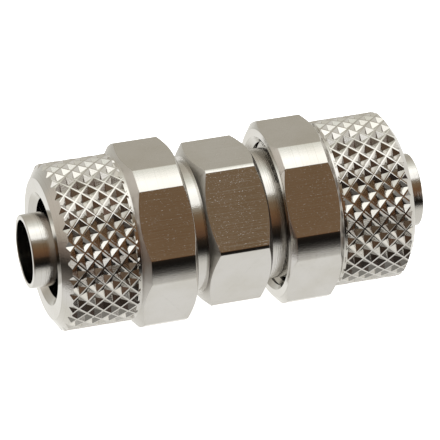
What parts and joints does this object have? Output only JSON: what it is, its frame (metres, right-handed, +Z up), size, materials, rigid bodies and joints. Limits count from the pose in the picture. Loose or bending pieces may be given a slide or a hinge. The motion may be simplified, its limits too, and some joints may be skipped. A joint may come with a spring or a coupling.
{
  "type": "straight tube union",
  "caption": "Straight union for flexible tube: a turned body with a hexagon in the middle and a knurled clamping nut screwed over each hose spigot.",
  "frame": {"origin": "middle of the bore, halfway between the tips of the spigots", "axes": "+X along the bore towards the right nut, +Z up with the nuts standing on a flat"},
  "size_m": [0.033, 0.015, 0.014],
  "materials": {
    "body_plating": "nickel plated, turned and milled, semi-bright",
    "nut_plating": "nickel plated, knurled and turned, semi-bright"
  },
  "bodies": {
    "union_body": {"union_body": "body_plating"},
    "left_nut": {"left_nut": "nut_plating"},
    "right_nut": {"right_nut": "nut_plating"}
  },
  "joints": [
    {"name": "left_nut_travel", "type": "slide", "parent": "union_body", "child": "left_nut", "axis": [-1, 0, 0], "range_m": [-0.0011, 0.0135]},
    {"name": "right_nut_travel", "type": "slide", "parent": "union_body", "child": "right_nut", "axis": [1, 0, 0], "range_m": [-0.001, 0.0135]}
  ]
}
